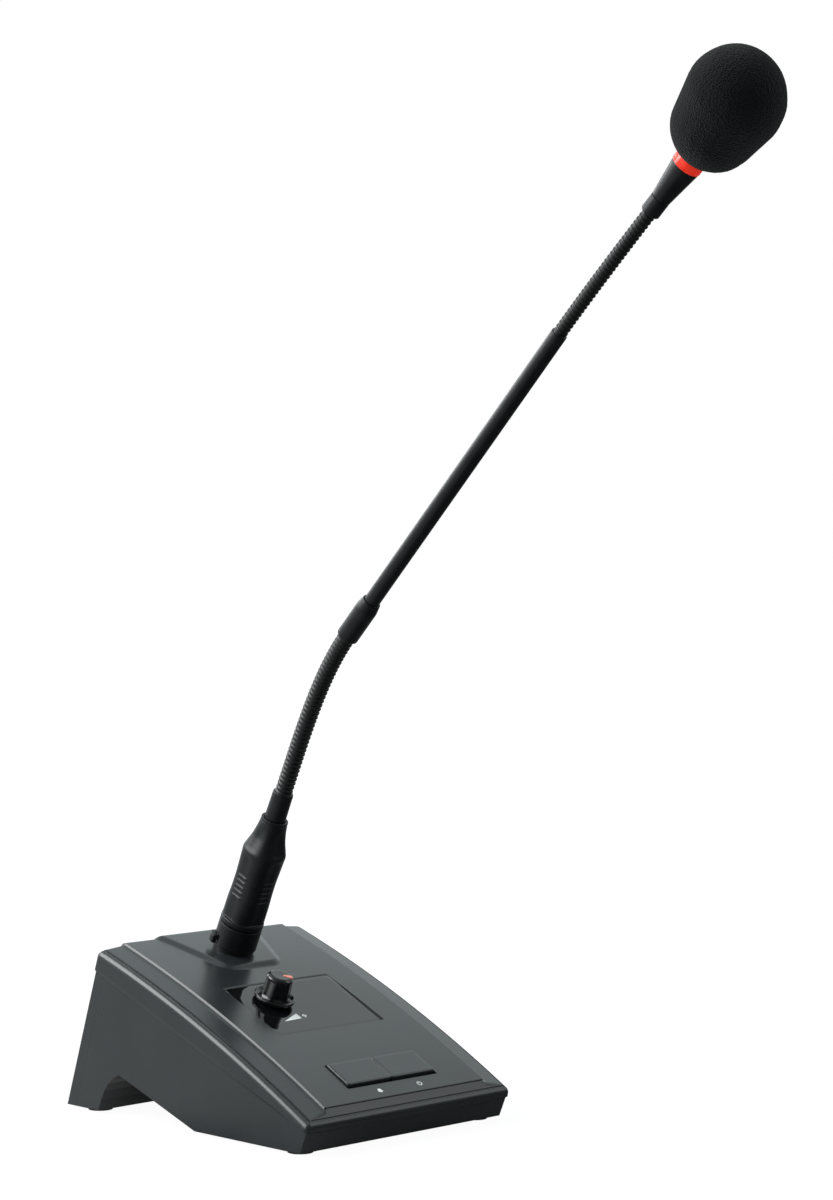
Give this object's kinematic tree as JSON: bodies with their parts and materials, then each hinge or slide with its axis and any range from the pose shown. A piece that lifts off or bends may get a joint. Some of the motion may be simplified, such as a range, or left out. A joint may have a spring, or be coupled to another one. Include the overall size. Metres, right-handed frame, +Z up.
{
  "type": "desk_microphone",
  "caption": "Desk paging microphone: a dark wedge base with two push keys and a volume knob, and a plug-in gooseneck with a red light ring and foam windscreen",
  "frame": {"origin": "on the desk, under the middle of the base footprint", "axes": "+X to the right as the speaker sees it, +Y to the back, +Z up"},
  "size_m": [0.1214, 0.3601, 0.4448],
  "materials": {
    "abs_charcoal": "fine moulded grain",
    "abs_key": "fine moulded grain, smoother than the cover",
    "gloss_film": "polished",
    "gloss_black": "polished",
    "pointer_orange": "printed",
    "foot_rubber": "matt",
    "zinc_steel": "zinc plated",
    "board_green": "solder mask",
    "switch_plastic": "moulded",
    "plunger_plastic": "moulded",
    "black_metal": "satin black coat",
    "insert_plastic": "moulded",
    "contact_brass": "bright",
    "flex_black": "satin black coat",
    "ring_red": "translucent",
    "capsule_alu": "bright",
    "foam_black": "open-cell foam"
  },
  "bodies": {
    "base": {"lower_housing": "abs_charcoal", "rear_panel": "abs_charcoal", "top_cover": "abs_charcoal", "panel_film": "gloss_film", "ballast_plate": "zinc_steel", "rubber_feet": "foot_rubber", "cover_screws": "zinc_steel", "rear_screws": "zinc_steel", "main_board": "board_green", "board_screws": "zinc_steel", "bell_switch": "switch_plastic", "power_switch": "switch_plastic", "pot_body": "zinc_steel", "pot_nut": "zinc_steel", "output_jack": "switch_plastic", "jack_nut": "zinc_steel", "power_inlet": "switch_plastic", "inlet_nut": "zinc_steel", "socket_body": "black_metal", "socket_collar": "black_metal", "socket_insert": "insert_plastic", "socket_contacts": "contact_brass", "socket_screws": "zinc_steel", "plug_shell": "black_metal", "plug_insert": "insert_plastic", "plug_pins": "contact_brass", "plug_boot": "black_metal", "lower_ferrule": "black_metal", "lower_flex_1": "flex_black"},
    "bell_key": {"bell_key": "abs_key", "bell_plunger": "plunger_plastic"},
    "power_key": {"power_key": "abs_key", "power_plunger": "plunger_plastic"},
    "knob": {"volume_knob": "gloss_black", "knob_pointer": "pointer_orange", "pot_shaft": "zinc_steel"},
    "tab": {"release_tab": "insert_plastic"},
    "low_link_2": {"lower_flex_2": "flex_black"},
    "low_link_3": {"lower_flex_3": "flex_black"},
    "low_link_4": {"lower_flex_4": "flex_black"},
    "low_link_5": {"lower_flex_5": "flex_black"},
    "mast": {"lower_flex_6": "flex_black", "coupling_sleeve": "black_metal", "neck_tube": "black_metal", "upper_flex_1": "flex_black"},
    "up_link_2": {"upper_flex_2": "flex_black"},
    "up_link_3": {"upper_flex_3": "flex_black"},
    "up_link_4": {"upper_flex_4": "flex_black"},
    "up_link_5": {"upper_flex_5": "flex_black"},
    "head": {"upper_flex_6": "flex_black", "top_ferrule": "black_metal", "capsule_housing": "black_metal", "light_ring": "ring_red", "light_board": "board_green", "capsule_basket": "black_metal", "capsule_grille": "zinc_steel", "capsule_holder": "foot_rubber", "mic_capsule": "capsule_alu", "windscreen": "foam_black"}
  },
  "joints": [
    {"name": "bell_press", "type": "slide", "parent": "base", "child": "bell_key", "axis": [0, 0.4572, -0.8894], "range_m": [0, 0.0015], "stiffness_N_per_m": 600, "springref_m": -0.0015},
    {"name": "power_press", "type": "slide", "parent": "base", "child": "power_key", "axis": [0, 0.4572, -0.8894], "range_m": [0, 0.0015], "stiffness_N_per_m": 600, "springref_m": -0.0015},
    {"name": "volume_turn", "type": "hinge", "parent": "base", "child": "knob", "pos_m": [-0.0132, -0.00551, 0.05276], "axis": [0, -0.3851, 0.9229], "range_deg": [-60, 240]},
    {"name": "release_press", "type": "slide", "parent": "base", "child": "tab", "axis": [0.8829, -0.4248, -0.1999], "range_m": [0, 0.0008], "stiffness_N_per_m": 800, "springref_m": -0.001},
    {"name": "lower_lean", "type": "hinge", "parent": "base", "child": "low_link_2", "pos_m": [0, -0.00346, 0.15587], "axis": [1, 0, 0], "range_deg": [-12, 12]},
    {"name": "lower_sway", "type": "hinge", "parent": "low_link_2", "child": "low_link_3", "pos_m": [0, -0.00932, 0.1683], "axis": [0, 0.9044, 0.4267], "range_deg": [-12, 12]},
    {"name": "lower_lean_2", "type": "hinge", "parent": "low_link_3", "child": "low_link_4", "pos_m": [0, -0.01534, 0.18067], "axis": [1, 0, 0], "range_deg": [-12, 12]},
    {"name": "lower_sway_2", "type": "hinge", "parent": "low_link_4", "child": "low_link_5", "pos_m": [0, -0.02186, 0.19277], "axis": [0, 0.8801, 0.4748], "range_deg": [-12, 12]},
    {"name": "lower_lean_3", "type": "hinge", "parent": "low_link_5", "child": "mast", "pos_m": [0, -0.02957, 0.20416], "axis": [1, 0, 0], "range_deg": [-12, 12]},
    {"name": "upper_lean", "type": "hinge", "parent": "mast", "child": "up_link_2", "pos_m": [0, -0.17297, 0.34756], "axis": [1, 0, 0], "range_deg": [-14, 14]},
    {"name": "upper_sway", "type": "hinge", "parent": "up_link_2", "child": "up_link_3", "pos_m": [0, -0.18098, 0.35517], "axis": [0, 0.6889, 0.7248], "range_deg": [-14, 14]},
    {"name": "upper_lean_2", "type": "hinge", "parent": "up_link_3", "child": "up_link_4", "pos_m": [0, -0.18906, 0.36271], "axis": [1, 0, 0], "range_deg": [-14, 14]},
    {"name": "upper_sway_2", "type": "hinge", "parent": "up_link_4", "child": "up_link_5", "pos_m": [0, -0.19719, 0.37019], "axis": [0, 0.6771, 0.7359], "range_deg": [-14, 14]},
    {"name": "upper_lean_3", "type": "hinge", "parent": "up_link_5", "child": "head", "pos_m": [0, -0.20536, 0.37763], "axis": [1, 0, 0], "range_deg": [-14, 14]}
  ],
  "couplings": [
    {"joint": "lower_lean_2", "follows": "lower_lean", "ratio": 1},
    {"joint": "lower_sway_2", "follows": "lower_sway", "ratio": 1},
    {"joint": "lower_lean_3", "follows": "lower_lean", "ratio": 1},
    {"joint": "upper_lean_2", "follows": "upper_lean", "ratio": 1},
    {"joint": "upper_sway_2", "follows": "upper_sway", "ratio": 1},
    {"joint": "upper_lean_3", "follows": "upper_lean", "ratio": 1}
  ]
}
